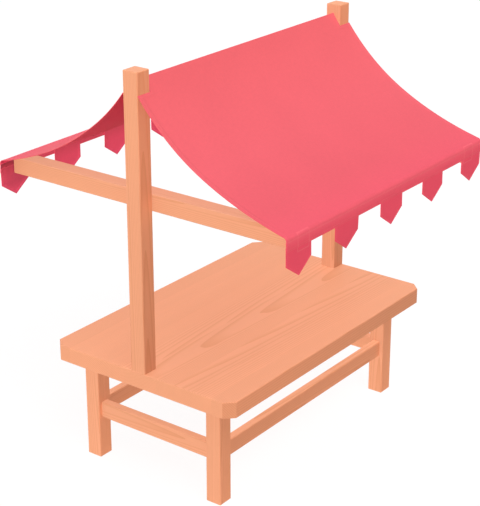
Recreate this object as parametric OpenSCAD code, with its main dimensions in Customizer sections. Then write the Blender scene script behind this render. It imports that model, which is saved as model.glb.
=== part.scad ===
// Wooden market stall: a slab counter on four legs, two posts, two crossbars
// and a sagging cloth canopy with a pointed valance. Millimetres.
// Origin: middle of the stall's footprint on the ground, +X along the ridge to
// the right-hand post, -Y to the front, +Z up.

/* [Counter] */
// Length of the counter's slab, along the ridge
counter_len = 2000; // [1400:10:2800]
// Depth of the slab, from its front edge to its back edge
counter_depth = 1300; // [900:10:1600]
// Thickness of the slab
counter_t = 100; // [80:1:140]
// Height of the slab's top above the ground
counter_h = 727; // [600:1:950]
// Distance from each corner in plan at which it is cut off, at 45 degrees
corner_cut = 55; // [20:1:100]

/* [Legs and stretchers] */
// Width of the square legs
leg_w = 100; // [90:1:130]
// Distance from the slab's ends to the legs' outer faces
leg_inset_x = 100; // [20:1:250]
// Distance from the slab's front and back edges to the legs' outer faces
leg_inset_y = 150; // [20:1:250]
// Thickness of the stretchers between the legs
stretcher_t = 50; // [40:1:70]
// Height of the stretchers' section
stretcher_h = 100; // [80:1:140]
// Height of the stretchers' lower edges above the ground
stretcher_z = 260; // [60:1:330]

/* [Posts and crossbars] */
// Width of the square posts
post_w = 100; // [80:1:130]
// Height of the posts' tops above the canopy's ridge
post_horn = 50; // [20:1:150]
// Width of the crossbars' section, along the ridge
crossbar_w = 100; // [70:1:130]
// Height of the crossbars' section
crossbar_h = 100; // [70:1:130]
// Thickness of the ridge board under the cloth
ridge_board_t = 40; // [30:1:60]
// Height of the ridge board's section, up to its point
ridge_board_h = 110; // [100:1:150]

/* [Canopy] */
// Span of the canopy, from the front valance's face to the back one's
canopy_span = 2000; // [1600:10:2600]
// Height of the cloth's ridge above the ground
ridge_h = 2417; // [2250:1:2700]
// Height of the eaves, where the cloth turns down, above the ground
eave_h = 1775; // [1650:1:1950]
// Distance from the ridge to the point that the sagging slope bends towards
sag_in = 295; // [220:1:400]
// Height of that point above the eaves
sag_up = 179; // [100:1:220]
// Thickness of the cloth
cloth_t = 3; // [2:0.5:5]

/* [Valance] */
// Height of the band along each eave
band_h = 79; // [60:1:120]
// Number of pointed tabs on each eave
tab_count = 5; // [3:1:9]
// Length of a tab's straight sides below the band
tab_side = 78; // [30:1:120]
// Length of a tab's point below its straight sides
tab_point = 77; // [30:1:120]
// Height of a tab's upper edge, which is sewn behind the band
tab_lap = 25; // [10:1:40]

/* [Joinery] */
// Chamfer on the timber's edges
ease = 4; // [2:0.5:8]
// Clearance round each tenon in its mortise
tenon_gap = 0.5; // [0.3:0.1:1]
// Width of the square tenons of the legs, the posts and the crossbars
tenon_w = 60; // [40:1:64]
// Length of the legs' tenons, which stop inside the slab
leg_tenon = 50; // [30:1:65]
// Length of the crossbars' tenons, which stop inside the posts
bar_tenon = 40; // [20:1:60]
// Thickness of the stretchers' and the ridge board's tenons
thin_tenon_t = 20; // [12:1:24]
// Length of those tenons
thin_tenon_len = 30; // [15:1:35]
// Depth of the shoulders above and below those tenons
shoulder = 20; // [10:1:28]
// Clearance between the cloth and the timber that carries it
cloth_gap = 0.3; // [0.2:0.1:0.6]
// Clearance round the posts in the slots of the cloth
slot_gap = 2; // [1:0.5:5]

/* [Hidden] */
timber = "#F2AB86";
canvas = "#E85468";
// Flat strips in the curve of each slope
sag_steps = 12;
// How far a cut starts outside the surface that it opens, and a tenon inside its timber
over = 1;

side_names = ["front", "back"];
end_names = ["left", "right"];
// What stands in pairs is drawn at the front and the left, and mirrored for the other side
flips = [0, 1];

leg_h = counter_h - counter_t;
leg_x = counter_len / 2 - leg_inset_x - leg_w / 2;
leg_y = counter_depth / 2 - leg_inset_y - leg_w / 2;
stretcher_mid = stretcher_z + stretcher_h / 2;
post_x = counter_len / 2 - post_w / 2;
post_h = ridge_h + post_horn - counter_h;
post_inside = post_x - post_w / 2;

// The sheet ends at the band's inner face, and the tabs hang just inside the band
eave_y = canopy_span / 2 - cloth_t;
tab_y = eave_y - cloth_t;
tab_w = counter_len / (2 * tab_count - 1);
band_low = eave_h - band_h;

// A slope is a parabola from the ridge to the eave: distance from the ridge, and height
function slope_at(t) = [
    2 * t * (1 - t) * sag_in + t * t * eave_y,
    (1 - t) * (1 - t) * ridge_h + 2 * t * (1 - t) * (eave_h + sag_up) + t * t * eave_h
];
function slope_run(t) = [
    (1 - t) * sag_in + t * (eave_y - sag_in),
    (1 - t) * (eave_h + sag_up - ridge_h) - t * sag_up
];
// A thickness across the slope, as it measures straight down
function plumb(t, thick) = thick * norm(slope_run(t)) / slope_run(t)[0];
// The cloth's underside is square to the curve, and plumb at the ridge and at the eave
function under_at(t) = t == 0 || t == 1
    ? slope_at(t) - [0, plumb(t, cloth_t)]
    : slope_at(t) + cloth_t * [slope_run(t)[1], -slope_run(t)[0]] / norm(slope_run(t));
function fall(from, to) = (to - from)[1] / (to - from)[0];
function flipped(p) = [-p[0], p[1]];

// The ridge board's point fits under the first strips of both slopes
ridge_fall = fall(under_at(0), under_at(1 / sag_steps));
ridge_board_low = under_at(0)[1] - plumb(0, cloth_gap) - ridge_board_h;
ridge_board_side = ridge_board_h + ridge_fall * ridge_board_t / 2;

// The crossbars' upper edges fit under the sheet just inside the tabs
bar_end = tab_y - cloth_gap;
eave_fall = fall(under_at(1 - 1 / sag_steps), under_at(1));
bar_top = under_at(1)[1] - eave_fall * (eave_y - bar_end) - plumb(1, cloth_gap);
bar_mid = bar_top - crossbar_h / 2;
bar_x = post_inside - crossbar_w / 2;

module with_mirrored(axis) {
    children();
    mirror(axis)
        children();
}

module block(w, d, h) {
    cube([w, d, h], center = true);
}

module eased_rectangle(w, h) {
    polygon([
        [ease - w / 2, -h / 2], [w / 2 - ease, -h / 2], [w / 2, ease - h / 2], [w / 2, h / 2 - ease],
        [w / 2 - ease, h / 2], [ease - w / 2, h / 2], [-w / 2, h / 2 - ease], [-w / 2, ease - h / 2]
    ]);
}

// A timber from left to right about the origin, cut square at both ends
module rail(len, d, h) {
    rotate([90, 0, 90])
        linear_extrude(len, center = true)
            eased_rectangle(d, h);
}

// A square timber standing on the origin, with one end eased and the other cut square
module upright(w, h, square_end) {
    spare = 2 * ease;
    intersection() {
        linear_extrude(h)
            eased_rectangle(w, w);
        translate([0, 0, (square_end == "top" ? h + spare : h - spare) / 2])
            intersection_for(turn = [0, 90])
                rotate([90, 0, turn])
                    linear_extrude(w + 2 * over, center = true)
                        eased_rectangle(w, h + spare);
    }
}

// A tenon that stands on the origin, or with a gap the mortise that takes it
module tenon(w, d, len, gap) {
    translate([0, 0, (len + gap - over) / 2])
        block(w + 2 * gap, d + 2 * gap, len + gap + over);
}

// From the front left leg up into the slab
module leg_joint(gap = 0) {
    translate([-leg_x, -leg_y, leg_h])
        tenon(tenon_w, tenon_w, leg_tenon, gap);
}

// From the front stretcher's left end into the leg
module side_stretcher_joint(gap = 0) {
    translate([leg_w / 2 - leg_x, -leg_y, stretcher_mid])
        rotate([0, -90, 0])
            tenon(stretcher_h - 2 * shoulder, thin_tenon_t, thin_tenon_len, gap);
}

// From the left stretcher's front end into the leg
module end_stretcher_joint(gap = 0) {
    translate([-leg_x, leg_w / 2 - leg_y, stretcher_mid])
        rotate([90, 0, 0])
            tenon(thin_tenon_t, stretcher_h - 2 * shoulder, thin_tenon_len, gap);
}

// From the left post's foot down through the slab
module post_joint(gap = 0) {
    translate([-post_x, 0, counter_h])
        rotate([180, 0, 0])
            tenon(tenon_w, tenon_w, counter_t, gap);
}

// From the left crossbar's side into the post
module bar_joint(gap = 0) {
    translate([-post_inside, 0, bar_mid])
        rotate([0, -90, 0])
            tenon(tenon_w, tenon_w, bar_tenon, gap);
}

// From the ridge board's left end into the post
module ridge_joint(gap = 0) {
    translate([-post_inside, 0, ridge_board_low + ridge_board_side / 2])
        rotate([0, -90, 0])
            tenon(ridge_board_side - 2 * shoulder, thin_tenon_t, thin_tenon_len, gap);
}

// What four long boards share: two along the sides, and two that lie across the corners
module slab() {
    across = (counter_len + counter_depth - 2 * corner_cut) / sqrt(2);
    translate([0, 0, leg_h + counter_t / 2])
        intersection_for(board = [[0, counter_depth], [90, counter_len], [45, across], [-45, across]])
            rotate([0, 0, board[0]])
                rail(2 * counter_len, board[1], counter_t);
}

module table_top() {
    color(timber)
        difference() {
            slab();
            with_mirrored([1, 0, 0]) {
                post_joint(tenon_gap);
                with_mirrored([0, 1, 0])
                    leg_joint(tenon_gap);
            }
        }
}

module leg() {
    color(timber)
        difference() {
            union() {
                translate([-leg_x, -leg_y, 0])
                    upright(leg_w, leg_h, "top");
                leg_joint();
            }
            side_stretcher_joint(tenon_gap);
            end_stretcher_joint(tenon_gap);
        }
}

module side_stretcher() {
    color(timber) {
        translate([0, -leg_y, stretcher_mid])
            rail(2 * leg_x - leg_w, stretcher_t, stretcher_h);
        with_mirrored([1, 0, 0])
            side_stretcher_joint();
    }
}

module end_stretcher() {
    color(timber) {
        translate([-leg_x, 0, stretcher_mid])
            rotate([0, 0, 90])
                rail(2 * leg_y - leg_w, stretcher_t, stretcher_h);
        with_mirrored([0, 1, 0])
            end_stretcher_joint();
    }
}

module post() {
    color(timber)
        difference() {
            union() {
                translate([-post_x, 0, counter_h])
                    upright(post_w, post_h, "foot");
                post_joint();
            }
            bar_joint(tenon_gap);
            ridge_joint(tenon_gap);
        }
}

module crossbar() {
    color(timber) {
        translate([-bar_x, 0, bar_mid])
            rotate([0, 0, 90])
                rail(2 * bar_end, crossbar_w, crossbar_h);
        bar_joint();
    }
}

module ridge_board() {
    half = ridge_board_t / 2;
    color(timber) {
        rotate([90, 0, 90])
            translate([0, ridge_board_low])
                linear_extrude(2 * post_inside, center = true)
                    polygon([
                        [ease - half, 0], [half - ease, 0], [half, ease], [half, ridge_board_side],
                        [0, ridge_board_h], [-half, ridge_board_side], [-half, ease]
                    ]);
        with_mirrored([1, 0, 0])
            ridge_joint();
    }
}

module canopy_sheet() {
    steps = [for (i = [0:sag_steps]) i / sag_steps];
    steps_back = [for (i = [sag_steps:-1:0]) i / sag_steps];
    rotate([90, 0, 90])
        linear_extrude(counter_len, center = true)
            polygon(concat(
                [for (t = steps) slope_at(t)],
                [for (t = steps_back) under_at(t)],
                [for (t = steps) if (t > 0) flipped(under_at(t))],
                [for (t = steps_back) if (t > 0) flipped(slope_at(t))]
            ));
}

// Open to the sheet's left edge
module post_slot() {
    low = slope_at(0.5)[1];
    translate([(slot_gap - over) / 2 - post_x, 0, (low + ridge_h + over) / 2])
        block(post_w + slot_gap + over, post_w + 2 * slot_gap, ridge_h + over - low);
}

module canopy() {
    color(canvas)
        difference() {
            canopy_sheet();
            with_mirrored([1, 0, 0])
                post_slot();
        }
}

module valance() {
    color(canvas)
        translate([0, -eave_y - cloth_t / 2, eave_h - band_h / 2])
            block(counter_len, cloth_t, band_h);
}

module valance_tab(i) {
    color(canvas)
        translate([2 * (i - 1) * tab_w + (tab_w - counter_len) / 2, -tab_y, band_low])
            rotate([90, 0, 0])
                linear_extrude(cloth_t)
                    polygon([
                        [-tab_w / 2, tab_lap], [-tab_w / 2, -tab_side], [0, -tab_side - tab_point],
                        [tab_w / 2, -tab_side], [tab_w / 2, tab_lap]
                    ]);
}

table_top();
for (side = flips, end = flips)
    mirror([end, 0, 0]) mirror([0, side, 0]) leg();
for (side = flips)
    mirror([0, side, 0]) side_stretcher();
for (end = flips)
    mirror([end, 0, 0]) end_stretcher();
for (end = flips)
    mirror([end, 0, 0]) post();
for (end = flips)
    mirror([end, 0, 0]) crossbar();
ridge_board();
canopy();
for (side = flips)
    mirror([0, side, 0]) valance();
for (side = flips, i = [1:tab_count])
    mirror([0, side, 0]) valance_tab(i);
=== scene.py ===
import math

import bpy
import numpy as np
from mathutils import Matrix, Vector


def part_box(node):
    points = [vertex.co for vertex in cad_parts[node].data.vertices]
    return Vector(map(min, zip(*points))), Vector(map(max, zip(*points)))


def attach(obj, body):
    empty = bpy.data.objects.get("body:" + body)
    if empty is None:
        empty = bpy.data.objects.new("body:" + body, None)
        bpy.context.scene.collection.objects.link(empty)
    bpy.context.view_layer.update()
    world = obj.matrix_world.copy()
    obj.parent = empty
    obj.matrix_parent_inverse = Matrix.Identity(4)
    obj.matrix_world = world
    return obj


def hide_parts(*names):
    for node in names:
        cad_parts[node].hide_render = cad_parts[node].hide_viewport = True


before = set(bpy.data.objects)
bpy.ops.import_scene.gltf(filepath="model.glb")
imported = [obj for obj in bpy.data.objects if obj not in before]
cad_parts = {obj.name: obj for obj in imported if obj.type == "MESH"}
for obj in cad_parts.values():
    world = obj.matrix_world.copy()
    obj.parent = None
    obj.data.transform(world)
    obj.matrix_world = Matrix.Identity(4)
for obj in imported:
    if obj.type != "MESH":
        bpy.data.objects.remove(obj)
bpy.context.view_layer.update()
print("frame loaded:", len(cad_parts), "nodes")

sides = {"front": -1, "back": 1}  # which way each side looks along Y
tabNumbers = range(1, 6)


# Small helpers for colours, nodes and edit mode

def linearColour(hexCode):
    channels = [int(hexCode[i:i + 2], 16) / 255 for i in (1, 3, 5)]
    return [c / 12.92 if c <= 0.04045 else ((c + 0.055) / 1.055) ** 2.4 for c in channels] + [1]


def addNode(tree, kind, settings={}, inputs={}, stops=()):
    # An input is a plain value, a socket, or a node, which stands for its first output
    node = tree.nodes.new(kind)
    for name, value in settings.items():
        setattr(node, name, value)
    for name, value in inputs.items():
        if isinstance(value, bpy.types.Node):
            value = value.outputs[0]
        if isinstance(value, bpy.types.NodeSocket):
            tree.links.new(value, node.inputs[name])
        else:
            node.inputs[name].default_value = value
    for i, (position, colour) in enumerate(stops):
        element = node.color_ramp.elements[i] if i < 2 else node.color_ramp.elements.new(position)
        element.position = position
        element.color = colour
    return node


def newMaterial(name):
    material = bpy.data.materials.new(name)
    material.use_nodes = True
    material.node_tree.nodes.clear()
    return material, material.node_tree


def finishMaterial(tree, shader):
    addNode(tree, "ShaderNodeOutputMaterial", inputs={"Surface": shader})


def waveScale(spacing):
    # A Wave Texture repeats every tau / 20 at scale 1
    return math.tau / 20 / spacing


def selectOnly(piece):
    bpy.ops.object.select_all(action="DESELECT")
    piece.select_set(True)
    bpy.context.view_layer.objects.active = piece


def pickFaces(mesh, wanted):
    for group in (mesh.vertices, mesh.edges):
        group.foreach_set("select", [False] * len(group))
    for face in mesh.polygons:
        face.select = wanted(face)


# Camera, lamps, sky and floor

camera = {
    "place": (-6.6472, -4.9725, 4.5468),
    "azimuth": -52.7095,
    "elevation": 21.3370,
    "roll": -0.1478,
    "lens": 106.60,
    "shift": (0.01348, -0.05638),
    "farthest": 200,
}


def addCamera():
    azimuth, elevation = math.radians(camera["azimuth"]), math.radians(camera["elevation"])
    back = Vector((
        math.sin(azimuth) * math.cos(elevation),
        -math.cos(azimuth) * math.cos(elevation),
        math.sin(elevation),
    ))
    right = Vector((math.cos(azimuth), math.sin(azimuth), 0))
    turned = Matrix((right, back.cross(right), back)).transposed()
    turned = turned @ Matrix.Rotation(math.radians(camera["roll"]), 3, "Z")
    data = bpy.data.cameras.new("viewpoint")
    data.lens = camera["lens"]
    data.shift_x, data.shift_y = camera["shift"]
    data.clip_end = camera["farthest"]
    viewpoint = bpy.data.objects.new("viewpoint", data)
    viewpoint.matrix_world = Matrix.Translation(camera["place"]) @ turned.to_4x4()
    bpy.context.scene.collection.objects.link(viewpoint)
    bpy.context.scene.camera = viewpoint


studio = {
    "sky": 0.10,  # even light from all round
    "floorBounce": "#F4E2CC",  # the floor's colour for the light that it throws back
    "floorGlow": (0.5, 1.03),  # share of plain white in what the camera sees of it, and its strength
    "floorSize": 160,
    "floorDrop": 0.0005,  # how far it lies below the stall's feet
    # Direction that the light comes from, strength on a face turned to it, spread in degrees, bounces.
    # The first four stand for large soft screens: they cast no shadow and show in no reflection.
    "lamps": {
        "front": ((0.43, -0.47, 0.77), 0.511, 20, 0),
        "left": ((-0.96, -0.16, 0.22), 0.684, 20, 1),
        "back": ((0.23, 0.88, 0.41), 0.297, 20, 1),
        "top": ((0.0, 0.0, 1.0), 0.181, 20, 1),
        "shade": ((-0.25, -0.56, 0.79), 0.08, 35, 8),
    },
}
white = (1, 1, 1, 1)


def addLamps():
    for name, (direction, strength, spread, bounces) in studio["lamps"].items():
        data = bpy.data.lights.new(name + "Lamp", "SUN")
        data.energy = strength * math.pi
        data.angle = math.radians(spread)
        data.use_shadow = name == "shade"
        data.cycles.max_bounces = bounces
        lamp = bpy.data.objects.new(name + "Lamp", data)
        lamp.visible_glossy = data.use_shadow
        lamp.rotation_euler = Vector(direction).to_track_quat("Z", "Y").to_euler()
        bpy.context.scene.collection.objects.link(lamp)


def cameraSees(tree):
    # 1 where the camera sees the floor or the sky, straight or in a gloss, and 0 for the light they give
    path = addNode(tree, "ShaderNodeLightPath")
    seen = addNode(tree, "ShaderNodeMath", {"operation": "MAXIMUM"}, {
        0: path.outputs["Is Camera Ray"],
        1: path.outputs["Is Glossy Ray"],
    })
    return addNode(tree, "ShaderNodeMath", {"operation": "MAXIMUM"}, {
        0: seen,
        1: path.outputs["Is Transmission Ray"],
    })


def addSky():
    world = bpy.data.worlds.new("studio")
    world.use_nodes = True
    tree = world.node_tree
    tree.nodes.clear()
    light = addNode(tree, "ShaderNodeBackground", inputs={"Color": white, "Strength": studio["sky"]})
    shown = addNode(tree, "ShaderNodeBackground", inputs={"Color": white, "Strength": 1})
    mixed = addNode(tree, "ShaderNodeMixShader", inputs={0: cameraSees(tree), 1: light, 2: shown})
    addNode(tree, "ShaderNodeOutputWorld", inputs={"Surface": mixed})
    bpy.context.scene.world = world
    bpy.context.scene.view_settings.view_transform = "Standard"


def addFloor():
    bpy.ops.object.select_all(action="DESELECT")
    bpy.ops.mesh.primitive_plane_add(size=studio["floorSize"], location=(0, 0, -studio["floorDrop"]))
    floor = bpy.context.active_object
    floor.name = "paperFloor"
    # A roll of matt white paper: even, with no sheen, and it keeps the soft shadow of what stands on it
    material, tree = newMaterial("seamlessPaperMatt")
    share, strength = studio["floorGlow"]
    paper = addNode(tree, "ShaderNodeBsdfDiffuse", inputs={"Color": white})
    glow = addNode(tree, "ShaderNodeEmission", inputs={"Color": white, "Strength": strength})
    shown = addNode(tree, "ShaderNodeMixShader", inputs={0: share, 1: paper, 2: glow})
    bounce = addNode(tree, "ShaderNodeBsdfDiffuse", inputs={"Color": linearColour(studio["floorBounce"])})
    mixed = addNode(tree, "ShaderNodeMixShader", inputs={0: cameraSees(tree), 1: bounce, 2: shown})
    finishMaterial(tree, mixed)
    floor.data.materials.append(material)


addCamera()
addLamps()
addSky()
addFloor()
print("camera, lamps and floor made")


# Timber: planed pine with a warm oil stain, on the CAD nodes

pine = {
    "early": "#F9AE88",  # the pale wood between the rings
    "late": "#EEA178",  # the darker line at the end of each ring
    "lateFrom": 0.55,  # share of a ring after which it darkens
    "ring": 0.0085,  # real rings are 3 to 6 mm apart, drawn wider so that they show
    "wobble": (5.0, 0.14),  # how far the rings stray from circles, and how fine that is
    "heart": 0.045,  # how far the rings' middle lies off the middle of the piece
    "lean": (0.016, 0.014),  # how far the grain leans out of the piece's line, in radians
    "turns": (2.4, 1.7, 1.3),  # each piece's heart and lean are turned on from the last one's by these
    "stretch": 16,  # how much longer than wide the figure is
    "fibre": 0.0022,  # width of the fine streaks
    "fibreStretch": 3.0,  # how much longer they are than the rest of the figure
    "cloud": 5.0,  # patches in a metre across the grain
    "board": 0.130,  # width of the boards that are glued into the counter's slab
    "boardShift": 0.5,  # how far apart in their logs the boards may have been
    # Lowest and highest tones
    "cloudTones": (0.975, 1.02),
    "fibreTones": (0.97, 1.025),
    "boardTones": (0.98, 1.015),
    "forwardShadeTint": "#FFF5EE",  # painted shade: a warmer, darker tint on the faces that look to the front or back
    # Painted shade on legs and posts: darker around the counter's height, under the slab, and lighter at
    # their ends: height and tone, on the faces that look along the stall and on those that look to its
    # front or back
    "uprights": (
        ((0.0, 1.0), (0.62, 0.975), (0.8, 0.935), (1.5, 0.945), (2.0, 0.995), (2.5, 1.005)),
        ((0.0, 1.08), (0.62, 0.93), (0.8, 0.86), (1.5, 0.90), (2.0, 1.07), (2.5, 1.11)),
    ),
    "slabEdge": (1.03, 0.85),  # painted shade: tone of the slab's long edges at their left and right ends
    "cutCornerShade": 0.89,  # painted shade: tone of the slab's cut corners
    "railSide": 0.92,  # painted shade: tone of the front and back rails' sides
    "paintedTopLight": (0.09, "#FFF0E4"),  # painted light on the crossbars' tops: how much it pales them, and its colour
    # The pieces are not all of one tone
    "tones": {
        "table_top": 0.99, "crossbar_left": 0.985, "crossbar_right": 0.985, "post_right": 1.03,
        "stretcher_left": 0.97, "stretcher_right": 0.97, "stretcher_front": 1.03,
        "stretcher_back": 1.03, "leg_front_left": 0.985, "leg_front_right": 0.985,
        "leg_back_left": 1.02,
    },
    "roughness": (0.50, 0.62),
    "bump": 0.0003,
}
lengthAxes = {"table": "X", "ridge": "X", "leg": "Z", "post": "Z", "crossbar": "Y"}


def lengthAxis(nodeName):
    if nodeName in ("stretcher_front", "stretcher_back"):
        return "X"
    if nodeName.startswith("stretcher"):
        return "Y"
    return lengthAxes[nodeName.split("_")[0]]


def paintedShadeTones(tree, nodeName, where):
    # Painted shade: the tone of the faces that look along the stall or up, and of those that look to its
    # front or back
    if nodeName.startswith(("leg", "post")):
        tall = pine["uprights"][0][-1][0]
        height = addNode(tree, "ShaderNodeMath", {"operation": "DIVIDE"}, {0: where[2], 1: tall})
        ramps = []
        for tones in pine["uprights"]:
            stops = [(z / tall, (tone, tone, tone, 1)) for z, tone in tones]
            ramps.append(addNode(tree, "ShaderNodeValToRGB", inputs={0: height}, stops=stops))
        return ramps
    if nodeName == "table_top":
        low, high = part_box(nodeName)
        return 1, addNode(tree, "ShaderNodeMapRange", inputs={
            "Value": where[0], "From Min": low.x, "From Max": high.x,
            "To Min": pine["slabEdge"][0], "To Max": pine["slabEdge"][1],
        })
    return 1, pine["railSide"] if nodeName.startswith("stretcher") else 1


def pineMaterial(nodeName, number):
    # Planed and oiled: rings and long flames along the piece, rings on the end grain, a low even sheen
    axis = lengthAxis(nodeName)
    along = "XYZ".index(axis)
    across, deep = (along + 1) % 3, (along + 2) % 3
    heartTurn, leanTurn, deepTurn = (turn * number for turn in pine["turns"])
    low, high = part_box(nodeName)
    heart = (low + high) / 2
    heart[across] += pine["heart"] * math.cos(heartTurn)
    heart[deep] += pine["heart"] * math.sin(heartTurn)
    lean = [0.0, 0.0, 0.0]
    lean[across] = pine["lean"][0] * math.sin(leanTurn + 1)
    lean[deep] = pine["lean"][1] * math.cos(deepTurn)
    drawnOut = [1.0, 1.0, 1.0]
    drawnOut[along] = pine["stretch"]
    streaks = [1.0, 1.0, 1.0]
    streaks[along] = pine["fibreStretch"]

    material, tree = newMaterial("pinePlanedOiled." + nodeName)
    surface = addNode(tree, "ShaderNodeTexCoord").outputs
    place = surface["Object"]
    where = addNode(tree, "ShaderNodeSeparateXYZ", inputs={0: place}).outputs
    board = None
    if nodeName == "table_top":
        # Each glued board has its own tone and its own heart
        board = addNode(tree, "ShaderNodeMath", {"operation": "DIVIDE"}, {0: where[1], 1: pine["board"]})
        board = addNode(tree, "ShaderNodeMath", {"operation": "FLOOR"}, {0: board})
        board = addNode(tree, "ShaderNodeTexWhiteNoise", {"noise_dimensions": "1D"}, {"W": board})
        moved = addNode(tree, "ShaderNodeVectorMath", {"operation": "SCALE"}, {
            0: board.outputs["Color"], "Scale": pine["boardShift"],
        })
        place = addNode(tree, "ShaderNodeVectorMath", {"operation": "ADD"}, {0: place, 1: moved})
    grown = addNode(tree, "ShaderNodeMapping", {"vector_type": "TEXTURE"}, {
        "Vector": place, "Location": heart, "Rotation": lean, "Scale": drawnOut,
    })
    rings = addNode(tree, "ShaderNodeTexWave", {
        "wave_type": "RINGS", "rings_direction": axis, "wave_profile": "SAW",
    }, {
        "Vector": grown, "Scale": waveScale(pine["ring"]), "Phase Offset": number,
        "Distortion": pine["wobble"][0], "Detail Scale": pine["wobble"][1],
        "Detail": 2.0, "Detail Roughness": 0.55,
    }).outputs["Fac"]
    cloud = addNode(tree, "ShaderNodeTexNoise", inputs={
        "Vector": grown, "Scale": pine["cloud"], "Detail": 2.0,
    })
    fine = addNode(tree, "ShaderNodeMapping", {"vector_type": "TEXTURE"}, {
        "Vector": grown, "Scale": streaks,
    })
    fibre = addNode(tree, "ShaderNodeTexNoise", inputs={
        "Vector": fine, "Scale": 1 / pine["fibre"], "Detail": 2.0, "Roughness": 0.6,
    })
    wood = addNode(tree, "ShaderNodeValToRGB", inputs={0: rings}, stops=(
        (0.0, linearColour(pine["early"])),
        (1.0, linearColour(pine["late"])),
        (pine["lateFrom"], linearColour(pine["early"])),
    ))

    # Noise mostly keeps between 0.3 and 0.7, and the tones multiply
    ownTone = pine["tones"].get(nodeName, 1)
    level = addNode(tree, "ShaderNodeMapRange", inputs={
        "Value": cloud, "From Min": 0.3, "From Max": 0.7,
        "To Min": pine["cloudTones"][0], "To Max": pine["cloudTones"][1],
    })
    streak = addNode(tree, "ShaderNodeMapRange", inputs={
        "Value": fibre, "From Min": 0.25, "From Max": 0.75,
        "To Min": pine["fibreTones"][0] * ownTone, "To Max": pine["fibreTones"][1] * ownTone,
    })
    level = addNode(tree, "ShaderNodeMath", {"operation": "MULTIPLY"}, {0: level, 1: streak})
    if board is not None:
        boardTone = addNode(tree, "ShaderNodeMapRange", inputs={
            "Value": board, "To Min": pine["boardTones"][0], "To Max": pine["boardTones"][1],
        })
        level = addNode(tree, "ShaderNodeMath", {"operation": "MULTIPLY"}, {0: level, 1: boardTone})
    facing = addNode(tree, "ShaderNodeSeparateXYZ", inputs={0: surface["Normal"]}).outputs
    forward = addNode(tree, "ShaderNodeMath", {"operation": "ABSOLUTE"}, {0: facing[1]})
    # Painted shade: tones set by which way a face looks, and on legs and posts by height
    alongTone, forwardTone = paintedShadeTones(tree, nodeName, where)
    paintedLight = addNode(tree, "ShaderNodeMix", inputs={0: forward, 2: alongTone, 3: forwardTone})
    level = addNode(tree, "ShaderNodeMath", {"operation": "MULTIPLY"}, {0: level, 1: paintedLight})
    # Painted shade on the slab's cut corners
    if nodeName == "table_top":
        sideways = addNode(tree, "ShaderNodeMath", {"operation": "ABSOLUTE"}, {0: facing[0]})
        # This product is 0.5 on a face cut at 45 degrees
        corner = addNode(tree, "ShaderNodeMath", {"operation": "MULTIPLY"}, {0: sideways, 1: forward})
        cornerShade = addNode(tree, "ShaderNodeMapRange", inputs={
            "Value": corner, "From Max": 0.5, "To Min": 1, "To Max": pine["cutCornerShade"],
        })
        level = addNode(tree, "ShaderNodeMath", {"operation": "MULTIPLY"}, {0: level, 1: cornerShade})
    colour = addNode(tree, "ShaderNodeVectorMath", {"operation": "SCALE"}, {0: wood, "Scale": level})
    # Painted shade: the faces that look to the front or back get a warmer, darker tint
    # Sockets 6 and 7 of a Mix node take its two colours, and its output 2 gives their mix
    colour = addNode(tree, "ShaderNodeMix", {"data_type": "RGBA", "blend_type": "MULTIPLY"}, {
        0: forward, 6: colour, 7: linearColour(pine["forwardShadeTint"]),
    }).outputs[2]
    # Painted light: the crossbars' tops are paled against the canopy's shade
    if nodeName.startswith("crossbar"):
        share, pale = pine["paintedTopLight"]
        topLit = addNode(tree, "ShaderNodeMath", {"operation": "MULTIPLY", "use_clamp": True}, {
            0: facing[2], 1: share,
        })
        colour = addNode(tree, "ShaderNodeMix", {"data_type": "RGBA"}, {
            0: topLit, 6: colour, 7: linearColour(pale),
        }).outputs[2]

    rough = addNode(tree, "ShaderNodeMapRange", inputs={
        "Value": fibre, "From Min": 0.3, "From Max": 0.7,
        "To Min": pine["roughness"][0], "To Max": pine["roughness"][1],
    })
    height = addNode(tree, "ShaderNodeMath", {"operation": "ADD"}, {0: rings, 1: fibre})
    bump = addNode(tree, "ShaderNodeBump", inputs={
        "Height": height, "Strength": 0.5, "Distance": pine["bump"],
    })
    shader = addNode(tree, "ShaderNodeBsdfPrincipled", inputs={
        "Base Color": colour, "Roughness": rough, "IOR": 1.45, "Specular IOR Level": 0.3,
        "Normal": bump,
    })
    finishMaterial(tree, shader)
    return material


def finishTimber():
    timber = [n for n in sorted(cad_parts) if not n.startswith(("canopy", "valance"))]
    for number, nodeName in enumerate(timber):
        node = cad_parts[nodeName]
        material = pineMaterial(nodeName, number)
        for slot in node.material_slots:
            slot.material = material
        if not node.material_slots:
            node.data.materials.append(material)
    print("timber finished:", len(timber), "pieces")


finishTimber()


# Canvas and thread

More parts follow.
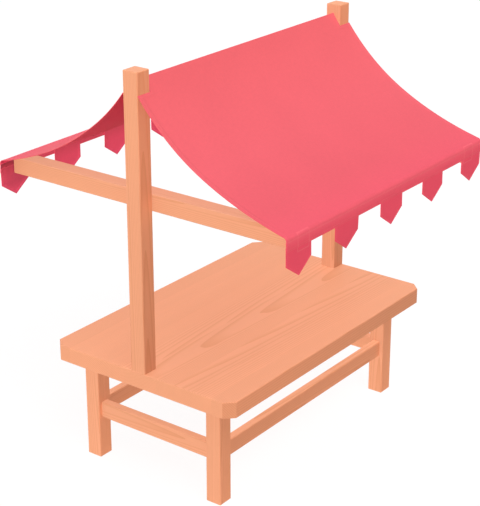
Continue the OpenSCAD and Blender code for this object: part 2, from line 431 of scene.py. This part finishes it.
canvas = {
    # Painted light and shade in the dye: share of the way along the cut, and colour; the roof darkens
    # towards the eave and lightens on its turned-down edge
    "roof": ((0.0, "#F96C74"), (0.5, "#F76A75"), (0.8, "#F26471"), (0.965, "#F56172"), (1.0, "#FF6678")),
    "band": ((0.0, "#FB546C"), (1.0, "#FF6479")),  # from its foot to its top, painted lighter towards the top
    "tab": ((0.0, "#FF5570"), (1.0, "#FF5570")),  # from its point to its top, deeper than the roof's as painted shade
    # The inner sides: painted shade, deeper than the outer sides and darker towards the top on the band and
    # the tabs
    "tabInside": ((0.0, "#FF5C7E"), (0.6, "#FF5C7D"), (1.0, "#EC556F")),
    "under": ((0.0, "#FF4A76"), (1.0, "#FF4A76")),
    "bandInside": ((0.0, "#F45670"), (1.0, "#C6475D")),
    "paintedLight": "#FF6F7E",  # painted highlight over the edges of the crossbars' ends
    "litLine": 0.0032,  # half the width of a painted highlight line
    "barShade": 0.76,  # painted shade: how much light the inner side gives back beside the crossbars' ends
    "barShadeNear": (0.05, 0.125),  # and the distances from the bar between which that fades out
    "weave": 0.0030,  # real threads are 0.8 mm apart, drawn wider so that they show
    "slub": (90.0, 0.35),  # thicker threads: how many in a metre, and how far they are drawn out
    "cloud": 2.6,  # patches of uneven fading in a metre
    # Lowest and highest tones
    "weaveTones": (0.965, 1.015),
    "slubTones": (0.98, 1.02),
    "cloudTones": (0.985, 1.015),
    "roughness": 0.90,
    "sheen": 0.06,
    "bump": 0.00025,
}
stitch = {
    "colour": "#F3707C",
    "paler": 1.1,  # how much paler the lit windings are
    "twist": 700.0,  # windings in a metre
    # Real stitches are about half this size, and are drawn larger so that they show
    "length": 0.0065,
    "pitch": 0.0105,
    "radius": 0.0007,
    "sunk": 0.0004,  # how far the ends dive into the cloth
    "margin": 0.004,  # how far most seams lie from an edge or a fold
}
stitchLift = stitch["radius"] * 0.3  # how far a stitch's middle lies off the cloth


def besideBars(tree):
    # How far a place lies outside the nearest crossbar's end, seen along Y, and less than 0 on it
    # The bar is square, and its tenon reaches further along X
    low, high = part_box("crossbar_right")
    half = (high.z - low.z) / 2
    place = addNode(tree, "ShaderNodeTexCoord").outputs["Object"]
    for centre in ((low.x + half, 0, low.z + half), (half, 0, half)):
        away = addNode(tree, "ShaderNodeVectorMath", {"operation": "ABSOLUTE"}, {0: place})
        place = addNode(tree, "ShaderNodeVectorMath", {"operation": "SUBTRACT"}, {0: away, 1: centre})
    apart = addNode(tree, "ShaderNodeSeparateXYZ", inputs={0: place}).outputs
    return addNode(tree, "ShaderNodeMath", {"operation": "MAXIMUM"}, {0: apart[0], 1: apart[2]})


def canvasMaterial(name, reach):
    # Plain-woven cotton duck: matt, with a fine grid of threads, thicker slubs and a dye that carries
    # painted light and shade
    material, tree = newMaterial("cottonDuckDyed." + name)
    flat = addNode(tree, "ShaderNodeUVMap", {"uv_map": "flatCut"})
    threads = {"Vector": flat, "Scale": waveScale(canvas["weave"])}
    warp = addNode(tree, "ShaderNodeTexWave", {"bands_direction": "X"}, threads).outputs["Fac"]
    weft = addNode(tree, "ShaderNodeTexWave", {"bands_direction": "Y"}, threads).outputs["Fac"]
    weave = addNode(tree, "ShaderNodeMath", {"operation": "MAXIMUM"}, {0: warp, 1: weft})
    slubScale, drawnOut = canvas["slub"]
    slubs = []
    for stretch in ((drawnOut, 1.0, 1.0), (1.0, drawnOut, 1.0)):
        run = addNode(tree, "ShaderNodeMapping", inputs={"Vector": flat, "Scale": stretch})
        slubs.append(addNode(tree, "ShaderNodeTexNoise", inputs={
            "Vector": run, "Scale": slubScale, "Detail": 1.0,
        }))
    slub = addNode(tree, "ShaderNodeMath", {"operation": "ADD"}, {0: slubs[0], 1: slubs[1]})
    cloud = addNode(tree, "ShaderNodeTexNoise", inputs={
        "Vector": flat, "Scale": canvas["cloud"], "Detail": 3.0, "Roughness": 0.45,
    })

    # The dye ramps along the cut, with painted light and shade in its colours
    along = addNode(tree, "ShaderNodeSeparateXYZ", inputs={0: flat}).outputs[1]
    along = addNode(tree, "ShaderNodeMath", {"operation": "ABSOLUTE"}, {0: along})
    along = addNode(tree, "ShaderNodeMath", {"operation": "DIVIDE"}, {0: along, 1: reach})
    paintedLightStops = [(share, linearColour(colour)) for share, colour in canvas[name]]
    dyeAndPaintedLight = addNode(tree, "ShaderNodeValToRGB", inputs={0: along}, stops=paintedLightStops)
    if name in ("roof", "band", "tab"):
        # Painted highlight lines where the cloth lies over the edges of the crossbars' ends
        away = addNode(tree, "ShaderNodeMath", {"operation": "ABSOLUTE"}, {0: besideBars(tree)})
        line = addNode(tree, "ShaderNodeMapRange", inputs={
            "Value": away, "From Min": canvas["litLine"] * 0.4, "From Max": canvas["litLine"],
            "To Min": 1, "To Max": 0,
        })
        paintedLight = addNode(tree, "ShaderNodeMath", {"operation": "MULTIPLY"}, {0: line, 1: slub})
        dyeAndPaintedLight = addNode(tree, "ShaderNodeMix", {"data_type": "RGBA"}, {
            0: paintedLight, 6: dyeAndPaintedLight, 7: linearColour(canvas["paintedLight"]),
        }).outputs[2]

    level = None
    for source, (lowest, highest), (least, most) in (
        (weave, (0.0, 1.0), canvas["weaveTones"]),
        (slub, (0.6, 1.4), canvas["slubTones"]),
        (cloud, (0.3, 0.7), canvas["cloudTones"]),
    ):
        tone = addNode(tree, "ShaderNodeMapRange", inputs={
            "Value": source, "From Min": lowest, "From Max": highest, "To Min": least, "To Max": most,
        })
        if level is not None:
            tone = addNode(tree, "ShaderNodeMath", {"operation": "MULTIPLY"}, {0: level, 1: tone})
        level = tone
    # Painted shade on the inner sides near the crossbars' ends
    if name in ("bandInside", "tabInside"):
        barShade = addNode(tree, "ShaderNodeMapRange", inputs={
            "Value": besideBars(tree), "To Min": canvas["barShade"], "To Max": 1,
            "From Min": canvas["barShadeNear"][0], "From Max": canvas["barShadeNear"][1],
        })
        level = addNode(tree, "ShaderNodeMath", {"operation": "MULTIPLY"}, {0: level, 1: barShade})
    colour = addNode(tree, "ShaderNodeVectorMath", {"operation": "SCALE"}, {0: dyeAndPaintedLight, "Scale": level})
    height = addNode(tree, "ShaderNodeMath", {"operation": "ADD"}, {0: weave, 1: slub})
    bump = addNode(tree, "ShaderNodeBump", inputs={
        "Height": height, "Strength": 0.5, "Distance": canvas["bump"],
    })
    shader = addNode(tree, "ShaderNodeBsdfPrincipled", inputs={
        "Base Color": colour, "Roughness": canvas["roughness"], "IOR": 1.4, "Specular IOR Level": 0.25,
        "Sheen Weight": canvas["sheen"], "Sheen Roughness": 0.5, "Normal": bump,
    })
    finishMaterial(tree, shader)
    return material


def threadMaterial():
    # Twisted polyester thread: a shade paler than the canvas, with a slight shine
    material, tree = newMaterial("polyesterThreadTwisted")
    place = addNode(tree, "ShaderNodeTexCoord").outputs["Object"]
    twist = addNode(tree, "ShaderNodeTexNoise", inputs={
        "Vector": place, "Scale": stitch["twist"], "Detail": 0.0,
    })
    plain = linearColour(stitch["colour"])
    pale = [min(1, c * stitch["paler"]) for c in plain[:3]] + [1]
    tint = addNode(tree, "ShaderNodeValToRGB", inputs={0: twist}, stops=((0.35, plain), (0.65, pale)))
    shader = addNode(tree, "ShaderNodeBsdfPrincipled", inputs={
        "Base Color": tint, "Roughness": 0.55, "IOR": 1.5,
    })
    finishMaterial(tree, shader)
    return material


sewingThread = threadMaterial()
underCanvas = canvasMaterial("under", 1)


# Cloth: each piece is cut flat, keeps that cut as its UVs in metres, and is then hung

def gridLines(*stops):
    # Lines from the first stop to the last, with no stretch wider than the spacing given at its start
    lines = []
    for (start, spacing), (end, _) in zip(stops, stops[1:]):
        count = math.ceil((end - start) / spacing - 1e-9)
        lines += [start + (end - start) * i / count for i in range(count)]
    return lines + [stops[-1][0]]


def mirrored(lines):
    return [-x for x in lines[:0:-1]] + lines


def sewnCloth(name, columns, rows, cutAt, hemAt, hang, thick, hemmed, finishes, keepFace=None):
    # cutAt places a grid point on the flat cut, hang places a point of the cut in the stall, and hemAt is
    # 1 on a hem, where the cloth is `hemmed` thick, and 0 off it, where it is `thick`
    across, up = len(columns) - 1, len(rows) - 1
    bpy.ops.object.select_all(action="DESELECT")
    bpy.ops.mesh.primitive_grid_add(x_subdivisions=across, y_subdivisions=up, size=1)
    piece = bpy.context.active_object
    piece.name = name
    mesh = piece.data
    for vertex in mesh.vertices:
        i, j = round((vertex.co.x + 0.5) * across), round((vertex.co.y + 0.5) * up)
        vertex.co = (*cutAt(columns[i], rows[j]), 0)
    if keepFace:
        pickFaces(mesh, lambda face: not keepFace(face.center))
        bpy.ops.object.mode_set(mode="EDIT")
        bpy.ops.mesh.select_mode(type="FACE")
        bpy.ops.mesh.delete(type="FACE")
        bpy.ops.object.mode_set(mode="OBJECT")
    mesh.uv_layers[0].name = "flatCut"
    for loop in mesh.loops:
        mesh.uv_layers[0].data[loop.index].uv = mesh.vertices[loop.vertex_index].co.xy
    hem = piece.vertex_groups.new(name="hem")
    for vertex in mesh.vertices:
        hem.add([vertex.index], hemAt(vertex.co.x, vertex.co.y), "REPLACE")
    for vertex in mesh.vertices:
        vertex.co = hang(vertex.co.x, vertex.co.y, 0)
    for finish in finishes:
        mesh.materials.append(finish)

    selectOnly(piece)
    bpy.ops.object.modifier_add(type="SOLIDIFY")
    wall = piece.modifiers[-1]
    wall.thickness, wall.offset = hemmed, -1
    wall.vertex_group, wall.thickness_vertex_group = "hem", thick / hemmed
    wall.material_offset = len(finishes) - 1
    bpy.ops.object.modifier_apply(modifier=wall.name)
    bpy.ops.object.shade_smooth_by_angle(angle=math.radians(50))
    return piece


def stitchMaster():
    # One stitch along X: a short thread with narrow ends that dive into the cloth
    bpy.ops.object.select_all(action="DESELECT")
    bpy.ops.mesh.primitive_cylinder_add(
        vertices=6, radius=stitch["radius"], depth=stitch["length"] * 0.6, rotation=(0, math.pi / 2, 0))
    piece = bpy.context.active_object
    piece.name = "stitch"
    bpy.ops.object.transform_apply(location=False, rotation=True, scale=False)
    for end in (-1, 1):
        pickFaces(piece.data, lambda face: face.normal.x * end > 0.9)
        bpy.ops.object.mode_set(mode="EDIT")
        bpy.ops.mesh.select_mode(type="FACE")
        bpy.ops.mesh.extrude_region_move(TRANSFORM_OT_translate={
            "value": (end * stitch["length"] * 0.2, 0, -stitch["sunk"])})
        bpy.ops.transform.resize(value=(1, 0.45, 0.45))
        bpy.ops.object.mode_set(mode="OBJECT")
    return piece


def sew(master, points):
    # Copies of the stitch along a line of points on the cloth
    data = bpy.data.curves.new("seam", "CURVE")
    data.dimensions = "3D"
    data.twist_mode = "Z_UP"
    line = data.splines.new("POLY")
    line.points.add(len(points) - 1)
    for target, point in zip(line.points, points):
        target.co = (*point, 1)
    seam = bpy.data.objects.new("seam", data)
    bpy.context.scene.collection.objects.link(seam)
    run = master.copy()
    run.data = master.data.copy()
    bpy.context.scene.collection.objects.link(run)
    selectOnly(run)
    bpy.ops.object.modifier_add(type="ARRAY")
    repeat = run.modifiers[-1]
    repeat.fit_type, repeat.curve = "FIT_CURVE", seam
    repeat.use_relative_offset, repeat.use_constant_offset = False, True
    repeat.constant_offset_displace = (stitch["pitch"], 0, 0)
    bpy.ops.object.modifier_apply(modifier=repeat.name)
    bpy.ops.object.modifier_add(type="CURVE")
    follow = run.modifiers[-1]
    follow.object = seam
    bpy.ops.object.modifier_apply(modifier=follow.name)
    bpy.data.objects.remove(seam)
    return run


def sewnThread(name, seams):
    master = stitchMaster()
    runs = [sew(master, points) for points in seams]
    bpy.data.objects.remove(master)
    selectOnly(runs[0])
    for run in runs:
        run.select_set(True)
    bpy.ops.object.join()
    piece = bpy.context.active_object
    piece.name = name
    piece.data.materials.append(sewingThread)
    bpy.ops.object.shade_smooth_by_angle(angle=math.radians(60))
    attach(piece, "root")
    return piece


def seamPoints(hang, start, end, spacing=0.02):
    # Points on the hung cloth along a straight line of the flat cut
    count = max(1, math.ceil(math.dist(start, end) / spacing))
    return [
        hang(*(a + (b - a) * i / count for a, b in zip(start, end)), stitchLift)
        for i in range(count + 1)
    ]


# Canopy: one sheet over the ridge board, sagging to the crossbars' ends and turned down there

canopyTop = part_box("canopy")[1]
valanceFoot, valanceTop = (corner.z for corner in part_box("valance_front"))
postInside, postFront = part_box("post_right")[0].x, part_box("post_right")[1].y

canopy = {
    "ridge": canopyTop.z,
    "eave": valanceTop,
    "half": canopyTop.x,
    "out": canopyTop.y + 0.0045,  # where the outer face turns down, from the ridge's line
    "turnDown": 0.030,  # height of the turned-down edge, which covers the top of the band
    "flare": 0.008,  # how far that edge and the band stand out, down to the band's foot
    "sagIn": 0.295,  # the point that the slope bends towards, out from the ridge
    "sagUp": 0.179,  # and up from the eave
    "ridgeBend": 0.009,  # length of cloth that takes the bend over the ridge board
    "eaveBend": 0.032,  # and over the crossbars' ends
    "bendFrom": (0.05, 0.2),  # lengths from the ridge between which the first gives way to the second
    "thick": 0.0022,
    "hemmed": 0.0036,  # thickness of its hems
    "hem": 0.026,  # width of a hem
    "hemStep": 0.002,  # width over which the thickness changes
    "binding": 0.016,  # width of the hem round the slots for the posts
    "slotGap": 0.002,
    "hemRise": 0.0006,
    "seamIn": 0.005,  # how far the side seams lie inside the hems' folds
    "footSeam": 0.006,  # how far the last seams lie above the turned-down edges
    "uneven": 0.0016,  # height of the waves in the slopes
    # Each wave's share of it, its turn in a metre along and across the stall, and where it starts
    "waves": ((1.0, 6.3, 2.9, 0.4), (0.7, 11.7, -4.1, 1.9), (0.5, 3.1, 9.7, 0.0)),
}


def outerFace(height):
    # The turned-down edge and the band curve outwards, and the tabs hang straight
    down = np.clip((canopy["eave"] - height) / (canopy["eave"] - valanceFoot), 0, 1)
    return canopy["out"] + canopy["flare"] * (1 - (1 - down) ** 2)


def canopyProfile():
    # The sheet's outer line across the stall, as (length along the cloth, distance out, height)
    slopePoints, fallPoints, spacing, samples = 600, 40, 0.001, 41
    t = np.linspace(0, 1, slopePoints)[:, None]
    ridge = np.array([0, canopy["ridge"]])
    bend = np.array([canopy["sagIn"], canopy["eave"] + canopy["sagUp"]])
    eave = np.array([canopyTop.y, canopy["eave"]])
    slope = (1 - t) ** 2 * ridge + 2 * t * (1 - t) * bend + t ** 2 * eave
    fall = (eave - bend) / np.linalg.norm(eave - bend)
    corner = eave + fall * (canopy["out"] - eave[0]) / fall[0]
    heights = np.linspace(corner[1], valanceFoot, fallPoints)
    half = np.vstack([slope, np.column_stack([outerFace(heights), heights])])
    line = np.vstack([half[:0:-1] * [-1, 1], half])
    length = np.concatenate([[0], np.cumsum(np.linalg.norm(np.diff(line, axis=0), axis=1))])
    length -= length[len(line) // 2]
    # Each point becomes the mean of the cloth around it, which rounds the ridge and the eave
    end = float(np.interp(canopy["turnDown"], corner[1] - heights, length[-fallPoints:]))
    s = np.arange(0, end + spacing / 2, spacing)
    window = np.interp(s, canopy["bendFrom"], [canopy["ridgeBend"], canopy["eaveBend"]])
    spread = s[:, None] + window[:, None] * np.linspace(-0.5, 0.5, samples)
    y = np.interp(spread, length, line[:, 0]).mean(axis=1)
    z = np.interp(spread, length, line[:, 1]).mean(axis=1)
    along = np.concatenate([[0], np.cumsum(np.hypot(np.diff(y), np.diff(z)))])
    return along, y, z


profile = canopyProfile()
canopyReach = float(profile[0][-1])
slotReach = float(np.interp(postFront + canopy["slotGap"], profile[1], profile[0]))
slotDepth = postInside - canopy["slotGap"]


def profileAt(s):
    return Vector([float(np.interp(s, profile[0], values)) for values in profile[1:]])


def unevenness(u, v):
    # Long, low waves in the slopes, and none at the ridge board and the eaves
    s = abs(v) / canopyReach
    slack = math.sin(math.pi * min(1, s)) ** 0.7 if 0 < s < 1 else 0
    waves = sum(share * math.sin(a * u + b * v + start) for share, a, b, start in canopy["waves"])
    return canopy["uneven"] * slack * waves


def hemShare(gap):
    # 1 on a hem, and 0 once the gap to its fold line is wider than the step
    return 1 - min(1, max(0, gap / canopy["hemStep"]))


def canopyHem(u, v):
    slotEdge = max(slotDepth - canopy["binding"] - abs(u), abs(v) - slotReach - canopy["binding"])
    return hemShare(min(canopy["half"] - abs(u) - canopy["hem"], slotEdge))


def hangCanopy(u, v, lift=0):
    side = 1 if v > 0 else -1
    s = min(abs(v), canopyReach)
    here = profileAt(s)
    near = 0.002  # half the length over which the cloth's direction is taken
    run = (profileAt(min(s + near, canopyReach)) - profileAt(max(s - near, 0))).normalized()
    if s < 1e-6:
        run = Vector((1, 0))
    out = lift + unevenness(u, v) + canopy["hemRise"] * canopyHem(u, v)
    return Vector((u, side * (here[0] - run[1] * out), here[1] + run[0] * out))


def canopySeams():
    margin = stitch["margin"]
    sideEdge = canopy["half"] - margin
    sideSeam = canopy["half"] - canopy["hem"] + canopy["seamIn"]
    footSeam = canopyReach - canopy["footSeam"]
    slotSeam = slotReach + canopy["binding"] - margin
    slotEnd = slotDepth - canopy["binding"] + margin
    seams = [seamPoints(hangCanopy, (-sideEdge, v), (sideEdge, v)) for v in (-footSeam, footSeam)]
    for end in (-1, 1):
        for side in (-1, 1):
            start, stop = side * (slotReach + margin), side * canopyReach * 0.999
            turn = side * slotSeam
            seams.append(seamPoints(hangCanopy, (end * sideSeam, start), (end * sideSeam, stop)))
            seams.append(seamPoints(hangCanopy, (end * sideEdge, turn), (end * slotEnd, turn)))
        # This one passes over the ridge, so its points lie closer
        seams.append(seamPoints(hangCanopy, (end * slotEnd, -slotSeam), (end * slotEnd, slotSeam), 0.004))
    return seams


def makeCanopy():
    half, hem, step, binding = (canopy[k] for k in ("half", "hem", "hemStep", "binding"))
    columns = mirrored(gridLines(
        (0, 0.02), (slotDepth - binding - step, step), (slotDepth - binding, 0.01), (slotDepth, 0.02),
        (half - hem - step, step), (half - hem, 0.013), (half, 0)))
    rows = mirrored(gridLines(
        (0, 0.003), (0.006, 0.01), (slotReach, 0.01), (slotReach + binding, step),
        (slotReach + binding + step, 0.018), (canopyReach - 0.085, 0.004), (canopyReach, 0)))
    piece = sewnCloth(
        "canopyCloth", columns, rows, lambda u, v: (u, v), canopyHem, hangCanopy,
        canopy["thick"], canopy["hemmed"], (canvasMaterial("roof", canopyReach), underCanvas),
        keepFace=lambda at: abs(at.x) < slotDepth or abs(at.y) > slotReach)
    thread = sewnThread("canopyThread", canopySeams())

    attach(piece, "root")
    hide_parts("canopy")


makeCanopy()


# Valance: a band behind each turned-down edge, and the pointed tabs sewn behind it

bandBox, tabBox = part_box("valance_back"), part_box("valance_back_tab_1")
band = {
    "in": 0.0031,  # how far its outer face lies behind that of the turned-down edge
    "low": bandBox[0].z,
    "high": canopy["eave"] - 0.024,
    "half": bandBox[1].x,
    "thick": 0.0020,
    "hemmed": 0.0034,
    "hem": 0.018,
    "wave": 0.0012,
    # Its turn in a metre along the stall, what sets the two bands apart, and the turn of its swell
    "waveTurns": (5.2, 0.8, 2.3),
}
tab = {
    "in": band["in"] + band["hemmed"] + 0.0002,
    "high": tabBox[1].z,
    "low": tabBox[0].z,
    "point": 0.077,  # height of the pointed part
    "width": tabBox[1].x - tabBox[0].x,
    "thick": 0.0018,
    "hemmed": 0.0030,
    "hem": 0.011,
    "seamIn": 0.003,  # how far its seam lies inside the hem's fold
    "flutter": 0.0045,  # how far its point may stand out of line
    "sway": 0.7,  # share of that for the whole tab
    "twist": 0.6,  # for one side against the other
    "curl": 0.5,  # and for both sides against the middle
}
bandCanvas = [canvasMaterial(name, band["high"] - band["low"]) for name in ("band", "bandInside")]
tabCanvas = [canvasMaterial(name, tab["high"] - tab["low"]) for name in ("tab", "tabInside")]


def makeBand(name):
    side = sides[name]
    height = band["high"] - band["low"]
    step = canopy["hemStep"]
    turns, apart, swell = band["waveTurns"]

    def hang(u, v, lift=0):
        sway = band["wave"] * (1 - v / height) * math.sin(turns * u + apart * side) * math.cos(swell * u)
        out = outerFace(band["low"] + v) - band["in"] + sway + lift
        return Vector((-side * u, side * out, band["low"] + v))

    def hem(u, v):
        return hemShare(min(band["half"] - abs(u), v) - band["hem"])

    columns = mirrored(gridLines(
        (0, 0.025), (band["half"] - band["hem"] - step, step), (band["half"] - band["hem"], 0.01),
        (band["half"], 0)))
    rows = gridLines((0, 0.009), (band["hem"], step), (band["hem"] + step, 0.012), (height, 0))
    piece = sewnCloth(
        name + "BandCloth", columns, rows, lambda u, v: (u, v), hem, hang,
        band["thick"], band["hemmed"], bandCanvas)
    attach(piece, "root")
    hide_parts("valance_" + name)
    reach = band["half"] - stitch["margin"]
    seamHeights = (stitch["margin"], band["hem"] - stitch["margin"])
    seams = [seamPoints(hang, (-reach, v), (reach, v)) for v in seamHeights]
    return piece, seams, height


def makeTab(name, number):
    side = sides[name]
    low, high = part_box("valance_{}_tab_{}".format(name, number))
    middle = (low.x + high.x) / 2
    half, height = tab["width"] / 2, tab["high"] - tab["low"]
    step = canopy["hemStep"]
    lean = math.cos(math.atan2(tab["point"], half))
    # Each tab hangs in its own way
    swing = math.sin(2.6 * number + 1.1 * side)
    curl = math.cos(1.9 * number + 0.7 * side)

    def lowerEdge(u):
        return tab["point"] * abs(u) / half

    def cutAt(u, row):
        # Rows below the hem's fold keep their distance from the pointed edge
        # Those above it fill up to the top
        fold = (tab["hem"] + step) / lean
        if row <= fold:
            return u, lowerEdge(u) + row
        share = (row - fold) / (height - fold)
        bottom = lowerEdge(u) + fold
        return u, bottom + (height - bottom) * share

    def hang(u, v, lift=0):
        down = 1 - v / height
        bent = tab["sway"] * swing + tab["twist"] * curl * (u / half) + tab["curl"] * curl * (u / half) ** 2
        sway = tab["flutter"] * down ** 2 * bent
        out = outerFace(tab["low"] + v) - tab["in"] + sway + lift
        return Vector((middle - side * u, side * out, tab["low"] + v))

    def hem(u, v):
        return hemShare(min(half - abs(u), (v - lowerEdge(u)) * lean) - tab["hem"])

    columns = mirrored(gridLines(
        (0, 0.01), (half - tab["hem"] - step, step), (half - tab["hem"], 0.006), (half, 0)))
    rows = gridLines(
        (0, 0.007), (tab["hem"] / lean, step), ((tab["hem"] + step) / lean, 0.01), (height, 0))
    piece = sewnCloth(
        "{}Tab{}Cloth".format(name, number), columns, rows, cutAt, hem, hang,
        tab["thick"], tab["hemmed"], tabCanvas)
    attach(piece, "root")
    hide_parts("valance_{}_tab_{}".format(name, number))

    inset = tab["hem"] - tab["seamIn"]
    edge, tip = half - inset, inset / lean
    shoulder = lowerEdge(edge) + tip
    behindBand = band["low"] - tab["low"] - stitch["margin"]
    corners = [(-edge, behindBand), (-edge, shoulder), (0, tip), (edge, shoulder), (edge, behindBand)]
    return [seamPoints(hang, start, stop) for start, stop in zip(corners, corners[1:])]


def makeValance(name):
    piece, seams, height = makeBand(name)
    for number in tabNumbers:
        seams += makeTab(name, number)
    thread = sewnThread(name + "ValanceThread", seams)
    print(name, "valance hung, band cut to", round(2 * band["half"], 3), "x", round(height, 3), "m")


for name in sides:
    makeValance(name)
